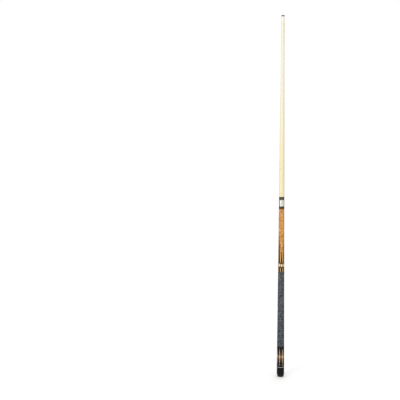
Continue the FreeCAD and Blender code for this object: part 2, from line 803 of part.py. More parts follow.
bad = [
    f"{o.Label}: {o.State}"
    for o in doc.Objects
    if any(word in o.State for word in ("Invalid", "Error"))
]
for node in NODES:
    shape = node.Shape
    if shape.isNull() or not shape.isValid() or shape.Volume <= 0:
        bad.append(f"{node.Label}: null, invalid or empty shape")
gem_volume = long_gems.Shape.Volume + short_gems.Shape.Volume
if abs(tip_diamonds.Shape.Volume - gem_volume) > VOLUME_TOLERANCE:
    bad.append("tip_diamonds: the two rows of diamonds overlap")
plain_rod = Part.makeCylinder(dims.pin_rad.value, (dims.pin_top_z - dims.pin_foot_z).value)
if joint_pin.Shape.Volume > THREADED_SHARE * plain_rod.Volume:
    bad.append("joint_pin: the thread cut nothing")
if bad:
    raise RuntimeError("; ".join(bad))

os.makedirs("parts", exist_ok=True)
for node in NODES:
    node.Shape.exportStep(os.path.join("parts", f"{node.Label}.step"))
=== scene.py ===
# A two-piece cue that stands upright on its rubber bumper: its axis is Z, the floor is z = 0, the
# tip is at the top and the camera looks along +Y. Turned pieces are lathed from the CAD's own
# levels, and flush inlays are cut out of the surface they lie in. Lengths are in metres.
import json
import math
import random
from functools import cached_property

import bmesh
import bpy
import numpy as np
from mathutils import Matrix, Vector
from mathutils.geometry import delaunay_2d_cdt

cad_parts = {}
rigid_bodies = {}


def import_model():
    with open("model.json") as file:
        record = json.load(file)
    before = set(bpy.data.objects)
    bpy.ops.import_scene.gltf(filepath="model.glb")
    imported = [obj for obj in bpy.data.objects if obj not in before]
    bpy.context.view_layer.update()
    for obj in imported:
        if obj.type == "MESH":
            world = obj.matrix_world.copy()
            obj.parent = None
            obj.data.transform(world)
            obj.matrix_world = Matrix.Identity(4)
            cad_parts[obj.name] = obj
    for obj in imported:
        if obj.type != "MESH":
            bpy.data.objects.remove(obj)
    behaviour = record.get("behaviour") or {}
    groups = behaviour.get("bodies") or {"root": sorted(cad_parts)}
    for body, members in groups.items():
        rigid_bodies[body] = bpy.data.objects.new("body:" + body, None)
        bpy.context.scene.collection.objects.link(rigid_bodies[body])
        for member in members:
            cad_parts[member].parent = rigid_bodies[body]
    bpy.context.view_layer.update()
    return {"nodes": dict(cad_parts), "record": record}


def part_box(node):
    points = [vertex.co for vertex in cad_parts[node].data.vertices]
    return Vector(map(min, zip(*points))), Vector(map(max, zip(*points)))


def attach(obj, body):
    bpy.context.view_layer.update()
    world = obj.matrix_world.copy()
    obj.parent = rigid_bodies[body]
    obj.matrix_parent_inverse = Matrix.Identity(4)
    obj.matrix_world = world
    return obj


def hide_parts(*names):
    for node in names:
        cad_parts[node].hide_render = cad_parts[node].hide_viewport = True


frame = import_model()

NODES = frame["nodes"]
BODY = {n: b for b, ns in frame["record"]["behaviour"]["bodies"].items() for n in ns}
SLOT = {s["node"]: s["material_slot"] for s in frame["record"]["subparts"]}

MM = 0.001
TURN = 2 * math.pi
SEGMENTS = 112  # round the axis, for most turned pieces
INLAY_DEPTH = 0.001


# ------------------------------------------------------------------ reading the CAD nodes
def bottom(node):
    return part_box(node)[0].z


def top(node):
    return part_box(node)[1].z


def widest(node):
    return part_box(node)[1].x


def verts_of(node):
    me = NODES[node].data
    co = np.zeros(len(me.vertices) * 3)
    me.vertices.foreach_get("co", co)
    return co.reshape(-1, 3)


def radii_at(node, z):
    """Radii of a node's vertices at a level where it has an edge."""
    co = verts_of(node)
    near = co[np.abs(co[:, 2] - z) < 2e-5]
    return np.hypot(near[:, 0], near[:, 1])


def outer_at(node, z):
    return float(radii_at(node, z).max())


def inner_at(node, z):
    return float(radii_at(node, z).min())


def levels(node):
    """(z, radius) of the outer profile of a turned node, from the bottom up."""
    co = verts_of(node)
    widest_at = {}
    for r, z in zip(np.hypot(co[:, 0], co[:, 1]), co[:, 2]):
        level = round(float(z), 5)
        widest_at[level] = max(widest_at.get(level, 0.0), float(r))
    return sorted(widest_at.items())


def taper(z0, r0, z1, r1):
    """The radius of a cone, as a function of z."""
    return lambda z: r0 + (r1 - r0) * (z - z0) / (z1 - z0)


def outlines(node, surface):
    """Closed outlines, as lists of (angle, z), of an inlay's face that lies on the surface."""
    me = NODES[node].data
    index_at, points, merged = {}, [], []
    for v in me.vertices:
        key = tuple(round(c, 6) for c in v.co)
        if key not in index_at:
            index_at[key] = len(points)
            points.append(v.co.copy())
        merged.append(index_at[key])
    on_skin = [math.hypot(p.x, p.y) > surface(p.z) - 0.15 * MM for p in points]
    count = {}
    for poly in me.polygons:
        ids = [merged[i] for i in poly.vertices]
        if len(set(ids)) < 3 or not all(on_skin[i] for i in ids):
            continue
        for a, b in zip(ids, ids[1:] + ids[:1]):
            if a != b:
                edge = (min(a, b), max(a, b))
                count[edge] = count.get(edge, 0) + 1
    # an edge with one face is on the outline
    neighbours = {}
    for (a, b), n in count.items():
        if n == 1:
            neighbours.setdefault(a, []).append(b)
            neighbours.setdefault(b, []).append(a)
    loops, used = [], set()
    for start in neighbours:
        if start in used:
            continue
        loop, current = [start], start
        used.add(start)
        while True:
            ahead = [n for n in neighbours[current] if n not in used]
            if not ahead:
                break
            current = ahead[0]
            used.add(current)
            loop.append(current)
        if len(loop) >= 3:
            loops.append([(math.atan2(points[i].y, points[i].x), points[i].z) for i in loop])
    return loops


# ------------------------------------------------------------------ mesh helpers
def link_object(name, data):
    ob = bpy.data.objects.new(name, data)
    bpy.context.scene.collection.objects.link(ob)
    return ob


def add_part(name, me, node, mat):
    """Put a finished mesh in the scene in place of a CAD node."""
    ob = link_object(name, me)
    me.materials.append(mat)
    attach(ob, BODY[node])
    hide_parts(node)


def sharpen(me, degrees):
    """Edges that turn by more than this stay crisp, and all others are shaded smooth."""
    faces_of = {}
    for p in me.polygons:
        for key in p.edge_keys:
            faces_of.setdefault(key, []).append(p.index)
    limit = math.cos(math.radians(degrees))
    flags = []
    for e in me.edges:
        fs = faces_of.get(tuple(sorted(e.vertices)), [])
        flags.append(
            len(fs) == 2 and me.polygons[fs[0]].normal.dot(me.polygons[fs[1]].normal) < limit
        )
    att = me.attributes.get("sharp_edge") or me.attributes.new("sharp_edge", "BOOLEAN", "EDGE")
    att.data.foreach_set("value", flags)
    me.update()


def on_circle(angle, r, z):
    return (r * math.cos(angle), r * math.sin(angle), z)


def revolve(name, rows, node, mat, segs=SEGMENTS, place=on_circle, crisp=28.0):
    """A turned solid from a closed half profile, anticlockwise seen from -Y with the axis on the
    left. Each row starts with (radius, z), and place(angle, *row) gives a vertex."""
    verts, faces, rings = [], [], []
    for row in rows:
        if row[0] < 1e-7:
            rings.append([len(verts)])
            verts.append((0, 0, row[1]))
        else:
            rings.append(list(range(len(verts), len(verts) + segs)))
            verts += [place(TURN * s / segs, *row) for s in range(segs)]
    for a, b in zip(rings, rings[1:] + rings[:1]):
        if len(a) == 1 and len(b) == 1:
            continue
        for s in range(segs):
            t = (s + 1) % segs
            if len(a) == 1:
                faces.append((a[0], b[t], b[s]))
            elif len(b) == 1:
                faces.append((a[s], a[t], b[0]))
            else:
                faces.append((a[s], a[t], b[t], b[s]))
    me = bpy.data.meshes.new(name)
    me.from_pydata(verts, [], faces)
    me.validate()
    me.update()
    for p in me.polygons:
        p.use_smooth = True
    add_part(name, me, node, mat)
    sharpen(me, crisp)


def smooth_curve(points, step):
    """Catmull-Rom through (z, r) stations, sampled about every step in z."""
    padded = [points[0]] + list(points) + [points[-1]]

    def slope(a, b):
        return (b[1] - a[1]) / (b[0] - a[0])

    out = []
    for before, start, end, after in zip(padded, padded[1:], padded[2:], padded[3:]):
        h = end[0] - start[0]
        n = max(1, int(round(h / step)))
        slope0, slope1 = slope(before, end), slope(start, after)
        for i in range(n):
            t = i / n
            r = (
                (2 * t**3 - 3 * t**2 + 1) * start[1]
                + (t**3 - 2 * t**2 + t) * h * slope0
                + (-2 * t**3 + 3 * t**2) * end[1]
                + (t**3 - t**2) * h * slope1
            )
            out.append((start[0] + h * t, r))
    out.append(points[-1])
    return out


def bridge(low, high):
    """Triangles between two rings of (angle, vertex) in order of angle, whatever their counts."""

    def next_angle(ring, i):
        return ring[(i + 1) % len(ring)][0] + (TURN if i + 1 >= len(ring) else 0)

    tris = []
    i = j = 0
    while i < len(low) or j < len(high):
        pair = low[i % len(low)][1], high[j % len(high)][1]
        if i < len(low) and (j >= len(high) or next_angle(low, i) <= next_angle(high, j)):
            i += 1
            tris.append((*pair, low[i % len(low)][1]))
        else:
            j += 1
            tris.append((*pair, high[j % len(high)][1]))
    return tris


# ------------------------------------------------------------------ flush inlays
def in_loop(loop, x, y):
    hit = False
    for (x0, y0), (x1, y1) in zip(loop, loop[1:] + loop[:1]):
        if (y0 > y) != (y1 > y) and x < (x1 - x0) * (y - y0) / (y1 - y0) + x0:
            hit = not hit
    return hit


def border(tris):
    """Directed border edges of a set of triangles."""
    edges = {}
    for t in tris:
        for a, b in ((t[0], t[1]), (t[1], t[2]), (t[2], t[0])):
            if (b, a) in edges:
                del edges[(b, a)]
            else:
                edges[(a, b)] = 1
    return list(edges)


def unroll(host, inlays, surface, z0, z1, cut, rows):
    """Triangulate the surface unrolled flat from the angle cut. Gives the (angle, z) of each
    point and the triangles of each node."""
    scale = surface((z0 + z1) / 2)  # flat x per radian
    flat_points, edges, seen = [], [], {}

    def add(x, y):
        key = (round(x, 7), round(y, 7))
        if key not in seen:
            seen[key] = len(flat_points)
            flat_points.append(Vector((x, y)))
        return seen[key]

    grid = [
        [add(TURN * s / SEGMENTS * scale, z) for s in range(SEGMENTS + 1)]
        for z in [z0 + (z1 - z0) * i / rows for i in range(rows + 1)]
    ]
    for row in grid:
        edges += list(zip(row, row[1:]))
    for below, above in zip(grid, grid[1:]):
        edges += list(zip(below, above))
    shapes = []
    for node in inlays:
        for loop in outlines(node, surface):
            flat = [(((a - cut) % TURN) * scale, min(max(z, z0), z1)) for a, z in loop]
            ids = [add(x, y) for x, y in flat]
            edges += [(a, b) for a, b in zip(ids, ids[1:] + ids[:1]) if a != b]
            xs, ys = zip(*flat)
            shapes.append((node, flat, (min(xs), max(xs), min(ys), max(ys))))
    points, _, tris, _, _, _ = delaunay_2d_cdt(flat_points, edges, [], 0, 1e-7)

    # join the two sides of the cut
    joined, places, remap = {}, [], []
    for p in points:
        x = 0.0 if abs(p.x - TURN * scale) < 1e-6 else p.x
        key = (round(x, 6), round(p.y, 6))
        if key not in joined:
            joined[key] = len(places)
            places.append((x / scale + cut, p.y))
        remap.append(joined[key])

    owned = {node: [] for node in (host, *inlays)}
    for t in tris:
        x = sum(points[i].x for i in t) / 3
        y = sum(points[i].y for i in t) / 3
        owner = host
        for node, flat, (x_min, x_max, y_min, y_max) in shapes:
            if x_min <= x <= x_max and y_min <= y <= y_max and in_loop(flat, x, y):
                owner = node
                break
        t = tuple(remap[i] for i in t)
        if len(set(t)) == 3:
            owned[owner].append((len(owned[owner]), t))
    return places, {node: [t for _, t in found] for node, found in owned.items()}


class Patch:
    """A mesh gathered from places on a tapered surface, with its corner normals."""

    def __init__(self, places, surface, slope):
        self.places, self.surface, self.slope = places, surface, slope
        self.verts, self.faces, self.normals, self.index = [], [], [], {}

    def vert(self, i, drop):
        if (i, drop) not in self.index:
            self.index[(i, drop)] = len(self.verts)
            angle, z = self.places[i]
            self.verts.append(on_circle(angle, self.surface(z) - drop, z))
        return self.index[(i, drop)]

    def normal(self, i):
        angle = self.places[i][0]
        return Vector((math.cos(angle), math.sin(angle), self.slope)).normalized()

    def add_tris(self, tris, drop, inward=False):
        for t in tris:
            if inward:
                t = t[::-1]
            self.faces.append(tuple(self.vert(i, drop) for i in t))
            self.normals.append([-self.normal(i) if inward else self.normal(i) for i in t])

    def add_flat(self, face):
        self.faces.append(face)
        self.normals.append(None)

    def add_wall(self, a, b):
        deep = self.vert(a, INLAY_DEPTH), self.vert(b, INLAY_DEPTH)
        self.add_flat((*deep, self.vert(b, 0.0), self.vert(a, 0.0)))

    def finish(self, name, node):
        me = bpy.data.meshes.new(name)
        me.from_pydata(self.verts, [], self.faces)
        me.update()
        custom = []
        for p, ns in zip(me.polygons, self.normals):
            p.use_smooth = True
            for i in range(p.loop_total):
                custom.append(tuple(p.normal) if ns is None else tuple(ns[i]))
        me.normals_split_custom_set(custom)
        add_part(name, me, node, material_of(node))


def inlaid(host, inlays, z0, z1, bore, cut_deg, rows):
    """A turned host with flush inlays. The host's outer skin and each inlay's face are cut from
    one triangulation of the unrolled surface, so they share every edge and leave neither gap nor
    overlap. The host's outer surface runs from z0 to z1, and bore is its inner radius."""
    surface = taper(z0, outer_at(host, z0), z1, outer_at(host, z1))
    slope = (surface(z0) - surface(z1)) / (z1 - z0)
    places, owned = unroll(host, inlays, surface, z0, z1, math.radians(cut_deg), rows)

    # one piece for each inlay node: face, floor and walls
    for node in inlays:
        patch = Patch(places, surface, slope)
        patch.add_tris(owned[node], 0.0)
        patch.add_tris(owned[node], INLAY_DEPTH, inward=True)
        for a, b in border(owned[node]):
            patch.add_wall(a, b)
        patch.finish(node + "_set", node)

    # the host: skin, pocket floors and walls, ends and bore
    skin = owned[host]
    pocket_set = {t for node in inlays for t in owned[node]}
    pockets = [t for t in owned["order"] if t in pocket_set] if "order" in owned else None
    if pockets is None:
        pockets = [t for node in inlays for t in owned[node]]
    build_host(host, Patch(places, surface, slope), skin, pockets, z0, z1, bore)


def build_host(host, patch, skin, pockets, z0, z1, bore):
    places = patch.places
    patch.add_tris(skin, 0.0)
    patch.add_tris(pockets, INLAY_DEPTH)

    def at_level(i, z):
        return abs(places[i][1] - z) < 1e-7

    def on_end(a, b):
        return any(at_level(a, z) and at_level(b, z) for z in (z0, z1))

    for a, b in border(skin):
        if not on_end(a, b):
            patch.add_wall(a, b)
    inner = {}

    def bore_vert(i):
        if i not in inner:
            angle, z = places[i]
            inner[i] = len(patch.verts)
            patch.verts.append(on_circle(angle, bore, z))
        return inner[i]

    for tris, drop in ((skin, 0.0), (pockets, INLAY_DEPTH)):
        for a, b in border(tris):
            if on_end(a, b):
                deep = bore_vert(a), bore_vert(b)
                patch.add_flat((*deep, patch.vert(b, drop), patch.vert(a, drop)))
    low, high = (
        sorted(
            ((places[i][0] % TURN, v) for i, v in inner.items() if at_level(i, z)),
            key=lambda entry: entry[0],
        )
        for z in (z0, z1)
    )
    for tri in bridge(low, high):
        patch.add_flat(tri)
    patch.finish(host + "_turned", host)


# ------------------------------------------------------------------ material helpers
def rgb(text, gain=1.0):
    """Linear colour from a hex colour."""
    out = []
    for i in (0, 2, 4):
        c = int(text[i : i + 2], 16) / 255
        c = c / 12.92 if c <= 0.04045 else ((c + 0.055) / 1.055) ** 2.4
        out.append(c * gain)
    return (*out, 1.0)


class Graph:
    """Builds nodes in a node tree. A string given as a value is a hex colour."""

    def __init__(self, tree):
        self.tree = tree

    def put(self, socket, value):
        if isinstance(value, bpy.types.NodeSocket):
            self.tree.links.new(value, socket)
        else:
            socket.default_value = rgb(value) if isinstance(value, str) else value

    def node(self, kind, ins=None, **props):
        n = self.tree.nodes.new(kind)
        for key, value in props.items():
            setattr(n, key, value)
        for key, value in (ins or {}).items():
            self.put(n.inputs[key], value)
        return n

    def calc(self, op, *values):
        return self.node("ShaderNodeMath", dict(enumerate(values)), operation=op).outputs[0]

    def add(self, total, *others):
        for value in others:
            total = self.calc("ADD", total, value)
        return total

    def mul(self, product, *others):
        for value in others:
            product = self.calc("MULTIPLY", product, value)
        return product

    def sub(self, a, b):
        return self.calc("SUBTRACT", a, b)

    def weighted(self, *pairs):
        """The sum of (value, weight) pairs."""
        return self.add(*[self.mul(value, weight) for value, weight in pairs])

    def fit(self, value, span, to=(0.0, 1.0), kind="LINEAR"):
        """Map the range span onto the range to."""
        ins = dict(enumerate((value, *span, *to)))
        return self.node("ShaderNodeMapRange", ins, interpolation_type=kind).outputs[0]

    def ease(self, value, span, to=(0.0, 1.0)):
        """As fit, but with soft ends."""
        return self.fit(value, span, to, kind="SMOOTHSTEP")

    def camera_ray(self):
        return self.node("ShaderNodeLightPath").outputs["Is Camera Ray"]


class Look(Graph):
    """A node material under construction."""

    def __init__(self, name):
        self.mat = bpy.data.materials.new(name)
        self.mat.use_nodes = True
        super().__init__(self.mat.node_tree)
        self.tree.nodes.clear()
        out = self.tree.nodes.new("ShaderNodeOutputMaterial")
        self.bsdf = self.tree.nodes.new("ShaderNodeBsdfPrincipled")
        self.tree.links.new(self.bsdf.outputs[0], out.inputs[0])
        self.point = self.tree.nodes.new("ShaderNodeTexCoord").outputs["Object"]

    @cached_property
    def axes(self):
        return tuple(self.node("ShaderNodeSeparateXYZ", {"Vector": self.point}).outputs)

    x = property(lambda self: self.axes[0])
    y = property(lambda self: self.axes[1])
    z = property(lambda self: self.axes[2])

    def set(self, **ins):
        for key, value in ins.items():
            self.put(self.bsdf.inputs[key.replace("_", " ")], value)

    def scaled(self, across, along):
        """The point, scaled across the cue's axis and along it."""
        n = self.node("ShaderNodeVectorMath", {0: self.point}, operation="MULTIPLY")
        n.inputs[1].default_value = (across, across, along)
        return n.outputs[0]

    def join(self, *parts):
        return self.node("ShaderNodeCombineXYZ", dict(enumerate(parts))).outputs[0]

    def noise(self, point, scale=1.0, detail=2.0, rough=0.5, twist=0.0):
        ins = {
            "Vector": point,
            "Scale": scale,
            "Detail": detail,
            "Roughness": rough,
            "Distortion": twist,
        }
        return self.node("ShaderNodeTexNoise", ins).outputs[0]

    def grain(self, across, along, **kw):
        """Noise with its own frequency, per metre, across the axis and along it."""
        return self.noise(self.scaled(across, along), **kw)

    def layers(self, along, across=None, z=None, **kw):
        """Noise in flat layers up the axis. Without across, it varies along the axis only."""
        z = self.mul(z or self.z, along)
        if across is None:
            return self.noise(self.join(0.0, 0.0, z), **kw)
        return self.noise(self.join(self.mul(self.x, across), self.mul(self.y, across), z), **kw)

    def ramp(self, fac, *stops):
        """Colours by (position, colour) stops."""
        n = self.node("ShaderNodeValToRGB", {"Fac": fac})
        while len(n.color_ramp.elements) < len(stops):
            n.color_ramp.elements.new(0.5)
        for e, (position, colour) in zip(n.color_ramp.elements, stops):
            e.position = position
            e.color = rgb(colour) if isinstance(colour, str) else colour
        return n.outputs[0]

    def mix(self, under, over, by, share=None):
        """Lay one colour over another by a mask, of which share is the full strength."""
        if share is not None:
            by = self.mul(by, share)
        return self.node("ShaderNodeMix", {0: by, 6: under, 7: over}, data_type="RGBA").outputs[2]

    def bump(self, height, strength, distance):
        ins = {"Height": height, "Strength": strength, "Distance": distance}
        return self.node("ShaderNodeBump", ins).outputs[0]

    def lacquer(self, weight=1.0, rough=0.045, specular=0.12):
        """A clear coat with a faint orange-peel ripple."""
        ripple = self.grain(across=420, along=300)
        haze = self.noise(self.point, scale=120.0, detail=3.0)
        self.set(
            Coat_Weight=weight,
            Coat_IOR=1.36,
            Coat_Roughness=self.fit(haze, span=(0.3, 0.8), to=(rough * 0.7, rough * 1.6)),
            Coat_Normal=self.bump(ripple, strength=0.02, distance=0.0004),
            Specular_IOR_Level=specular,
        )

    def growth(self, pith, pitch, wobble):
        """How far a point is through its growth ring, 0 to 1, about a pith at (x, y)."""
        bend = self.grain(across=26, along=2.6, detail=3.0, rough=0.55)
        dx = self.sub(self.x, pith[0])
        dy = self.sub(self.y, pith[1])
        distance = self.calc("SQRT", self.add(self.mul(dx, dx), self.mul(dy, dy)))
        distance = self.add(distance, self.mul(self.sub(bend, 0.5), wobble))
        return self.calc("FRACT", self.calc("DIVIDE", distance, pitch))

    def ring_line(self, growth, start, peak):
        """A line in each growth ring that rises softly to its peak and then ends."""
        late = self.ease(growth, span=(start, peak))
        return self.mul(late, self.fit(growth, span=(peak, 1.0), to=(1.0, 0.0)))


# ------------------------------------------------------------------ woods
def maple_pale():
    """Straight-grained white maple: soft growth layers, long fibres, short brown flecks."""
    look = Look("pale_maple_wood")
    growth = look.growth(pith=(0.11, -0.07), pitch=0.0019, wobble=0.0042)
    line = look.ring_line(growth, start=0.72, peak=0.98)
    fibre = look.grain(across=2600, along=34, detail=3.0, rough=0.6)
    broad = look.grain(across=150, along=3.2)
    tone = look.weighted((broad, 0.65), (fibre, 0.35))
    col = look.ramp(tone, (0.25, "f2e0ac"), (0.5, "f8ebbd"), (0.75, "fcf3d0"))
    worn = look.grain(across=120, along=11, detail=3.0, rough=0.6)
    worn = look.fit(worn, span=(0.35, 0.65), to=(0.12, 0.62))
    col = look.mix(col, "dcbb7c", by=look.mul(line, worn))
    # short dark pores that run with the grain
    pores = look.grain(across=1900, along=190, detail=1.0, rough=0.4)
    pores = look.fit(pores, span=(0.735, 0.79))
    col = look.mix(col, "a87a42", by=pores, share=0.5)
    # a few mineral streaks
    streak = look.grain(across=330, along=5.0)
    col = look.mix(col, "d6b57e", by=look.ease(streak, span=(0.66, 0.78), to=(0.0, 0.35)))
    # paler and greyer towards the ferrule
    col = look.mix(col, "f7f0d9", by=look.ease(look.z, span=(0.80, 1.32)), share=0.8)
    chalk = look.grain(across=260, along=90, detail=4.0, rough=0.65)
    chalk = look.fit(chalk, span=(0.52, 0.75), to=(0.0, 0.13))
    col = look.mix(col, "a9b9c4", by=look.mul(chalk, look.fit(look.z, span=(1.33, 1.446))))
    height = look.sub(fibre, look.mul(pores, 0.8))
    look.set(
        Base_Color=col,
        Roughness=look.fit(fibre, span=(0.3, 0.7), to=(0.30, 0.42)),
        Specular_IOR_Level=0.45,
        Normal=look.bump(height, strength=0.12, distance=0.00012),
        Coat_Weight=0.35,
        Coat_Roughness=0.18,
    )
    return look.mat


def maple_amber():
    """Amber-stained figured maple under lacquer: curl across the grain, clouds, small eyes."""
    look = Look("amber_figured_maple")
    foot, head = bottom("forearm"), top("forearm")
    growth = look.growth(pith=(-0.09, 0.06), pitch=0.0027, wobble=0.007)
    line = look.ring_line(growth, start=0.6, peak=0.96)
    fibre = look.grain(across=2200, along=46, detail=3.0, rough=0.6)
    # curl: soft bands across the grain that wander and break off
    drift = look.grain(across=70, along=22)
    drifted = look.add(look.z, look.mul(drift, 0.012))
    curl = look.layers(along=230.0, across=75.0, z=drifted)
    cloud = look.grain(across=55, along=19, detail=3.0, rough=0.55)
    col = look.ramp(
        look.weighted((curl, 0.55), (cloud, 0.45)),
        (0.30, rgb("a6621f", gain=0.95)),
        (0.42, rgb("d8903a", gain=0.93)),
        (0.52, rgb("ecaa50", gain=0.92)),
        (0.64, rgb("f2ba67", gain=0.92)),
        (0.78, rgb("f8cd8a", gain=0.93)),
    )
    col = look.mix(col, "8a4d1a", by=line, share=0.30)
    col = look.mix(col, "7a4316", by=look.fit(fibre, span=(0.35, 0.75), to=(0.16, 0.0)))
    # red-brown clouds, thinner towards the joint
    red = look.grain(across=38, along=13, detail=3.0, rough=0.6, twist=0.6)
    clouds = look.ease(red, span=(0.55, 0.76), to=(0.0, 0.48))
    thin = look.ease(look.z, span=(head - 0.07, head - 0.035), to=(1.0, 0.3))
    col = look.mix(col, "94501e", by=look.mul(clouds, thin))
    pale = look.ease(look.z, span=(head - 0.075, head - 0.04), to=(0.0, 0.16))
    col = look.mix(col, "f6d29c", by=pale)
    # more golden low down
    golden = look.ease(look.z, span=(foot + 0.16, foot + 0.05), to=(0.0, 0.22))
    col = look.mix(col, "b98a38", by=golden)
    # darker red-brown on the -X side below the middle
    low = look.ease(look.z, span=(foot + 0.09, foot + 0.19), to=(1.0, 0.0))
    side = look.add(look.x, look.mul(look.sub(red, 0.5), 0.014))
    side = look.ease(side, span=(-0.0095, -0.0035), to=(1.0, 0.0))
    col = look.mix(col, "74401a", by=look.mul(low, side), share=0.78)
    # quilted patches a few millimetres across, dark and light
    quilt = look.grain(across=190, along=130, detail=4.0, rough=0.66, twist=0.35)
    col = look.mix(col, "85501f", by=look.ease(quilt, span=(0.49, 0.35), to=(0.0, 0.62)))
    col = look.mix(col, "ffcf88", by=look.ease(quilt, span=(0.52, 0.68), to=(0.0, 0.65)))
    # birdseye: small dark rings with a light heart, in about half of the cells
    cell_ins = {"Vector": look.scaled(across=150, along=105), "Scale": 1.0, "Randomness": 1.0}
    cells = look.node("ShaderNodeTexVoronoi", cell_ins, feature="F1").outputs
    pick = look.node("ShaderNodeSeparateColor", {"Color": cells["Color"]}).outputs[0]
    eye = look.mul(
        look.ease(cells["Distance"], span=(0.10, 0.24), to=(1.0, 0.0)),
        look.ease(cells["Distance"], span=(0.0, 0.07), to=(0.25, 1.0)),
        look.fit(pick, span=(0.50, 0.52)),
    )
    col = look.mix(col, "5f3110", by=eye, share=0.72)
    look.set(Base_Color=col, Roughness=look.fit(curl, span=(0.3, 0.7), to=(0.34, 0.5)))
    look.lacquer()
    return look.mat


def dark_wood(name="dark_brown_wood", gain=1.0):
    """Near-black brown wood under lacquer, with open dark grain and brown streaks."""
    look = Look(name)
    fibre = look.grain(across=1500, along=30, detail=4.0, rough=0.62)
    broad = look.grain(across=260, along=9)
    tones = ((0.28, "180d04"), (0.45, "2f1b08"), (0.58, "482a0d"), (0.75, "704719"))
    col = look.ramp(
        look.weighted((fibre, 0.6), (broad, 0.4)), *[(at, rgb(tone, gain)) for at, tone in tones]
    )
    look.set(Base_Color=col, Roughness=0.42)
    look.lacquer(weight=0.5, rough=0.05, specular=0.0)
    return look.mat


def veneer(name, fibre, broad, fibre_share, tones):
    """Plain lacquered wood. fibre and broad are frequencies (across, along)."""
    look = Look(name)
    fibre = look.grain(*fibre, detail=3.0, rough=0.6)
    broad = look.grain(*broad)
    tone = look.weighted((fibre, fibre_share), (broad, 1 - fibre_share))
    col = look.ramp(tone, *zip((0.3, 0.5, 0.72), tones))
    look.set(Base_Color=col, Roughness=0.4)
    look.lacquer()
    return look.mat


def cream_inlay(name="cream_inlay", gain=1.0):
    """Cream inlay with a faint clouding, under lacquer."""
    look = Look(name)
    cloud = look.grain(across=420, along=300, detail=3.0, rough=0.6, twist=0.4)
    fine = look.grain(across=2600, along=900)
    tones = ((0.3, "d8b685"), (0.5, "e8cda2"), (0.72, "f3e1c0"))
    col = look.ramp(
        look.weighted((cloud, 0.75), (fine, 0.25)), *[(at, rgb(tone, gain)) for at, tone in tones]
    )
    look.set(
        Base_Color=col,
        Roughness=0.36,
        Subsurface_Weight=0.08,
        Subsurface_Radius=(0.001, 0.0007, 0.0004),
    )
    look.lacquer()
    return look.mat


def gold_brown():
    """Gold-brown figured veneer, brightest at mid height, under lacquer."""
    look = Look("gold_brown_veneer")
    fibre = look.grain(across=1700, along=44, detail=3.0, rough=0.6)
    curl = look.grain(across=150, along=520)
    middle = (bottom("sleeve_panels") + top("sleeve_panels")) / 2
    away = look.calc("ABSOLUTE", look.sub(look.z, middle))
    glow = look.fit(away, span=(0.0, 0.024), to=(0.20, -0.10))
    tone = look.add(look.weighted((fibre, 0.4), (curl, 0.45)), glow)
    col = look.ramp(tone, (0.25, "321d0c"), (0.45, "593819"), (0.6, "805930"), (0.8, "a67d49"))
    look.set(Base_Color=col, Roughness=0.4)
    look.lacquer()
    return look.mat


def black_lacquer():
    """Black sleeve under lacquer, with a trace of brown grain and hairline polishing marks."""
    look = Look("black_lacquered_sleeve")
    fibre = look.grain(across=1300, along=26, detail=4.0, rough=0.62)
    col = look.ramp(fibre, (0.35, "0d0c0b"), (0.6, "171310"), (0.8, "2a2018"))
    marks = look.grain(across=90, along=5200, rough=0.7)
    look.set(Base_Color=col, Roughness=look.fit(marks, span=(0.4, 0.7), to=(0.22, 0.34)))
    look.lacquer(weight=0.55, rough=0.05, specular=0.0)
    return look.mat


def plain_maple():
    look = Look("plain_turned_maple")
    growth = look.growth(pith=(0.08, 0.05), pitch=0.0025, wobble=0.006)
    fibre = look.grain(across=2000, along=40, detail=3.0, rough=0.6)
    col = look.ramp(fibre, (0.3, "c79a66"), (0.6, "dcb684"), (0.8, "e9c99c"))
    col = look.mix(col, "a87945", by=look.ease(growth, span=(0.6, 1.0), to=(0.0, 0.4)))
    normal = look.bump(fibre, strength=0.2, distance=0.0001)
    look.set(Base_Color=col, Roughness=0.6, Normal=normal)
    return look.mat


# ------------------------------------------------------------------ resin, metal and thread
def black_resin(name, base, rough, shine, worn_z=None):
    """Turned black resin: fine lathe lines, faint scuffs, and a duller edge up from worn_z."""
    look = Look(name)
    lines = look.layers(along=9000.0, detail=3.0, rough=0.7)
    scuff = look.grain(across=600, along=140, detail=5.0, rough=0.7, twist=0.8)
    scuff = look.ease(scuff, span=(0.55, 0.72))
    col = look.mix(base, "4a4a4a", by=scuff, share=0.16)
    line_rough = look.fit(lines, span=(0.3, 0.7), to=(rough * 0.8, rough * 1.3))
    roughness = look.add(line_rough, look.mul(scuff, 0.12))
    if worn_z is not None:
        wear = look.ease(look.z, span=(worn_z, worn_z + 0.006), to=(1.0, 0.0))
        spots = look.grain(across=380, along=380, detail=4.0, rough=0.7)
        wear = look.mul(wear, look.fit(spots, span=(0.45, 0.65)))
        col = look.mix(col, "6b6863", by=wear, share=0.5)
        roughness = look.add(roughness, look.mul(wear, 0.3))
    look.set(
        Base_Color=col,
        Roughness=roughness,
        Specular_IOR_Level=shine,
        Normal=look.bump(lines, strength=0.05, distance=0.00005),
    )
    return look.mat


def metal(name, base, rough, lines_per_m, line_bump, tarnish, tint="8d8776"):
    """Turned metal: circumferential tool lines that stretch the highlight, and faint tarnish."""
    look = Look(name)
    lines = look.layers(along=lines_per_m, across=14.0, detail=3.0, rough=0.75)
    haze = look.noise(look.point, scale=210.0, detail=4.0, rough=0.6)
    look.set(
        Base_Color=look.mix(base, tint, by=look.fit(haze, span=(0.5, 0.8), to=(0.0, tarnish))),
        Metallic=1.0,
        Roughness=look.add(
            look.fit(lines, span=(0.3, 0.7), to=(rough * 0.75, rough * 1.35)),
            look.fit(haze, span=(0.45, 0.8), to=(0.0, 0.06)),
        ),
        Normal=look.bump(lines, strength=line_bump, distance=0.00003),
    )
    return look.mat


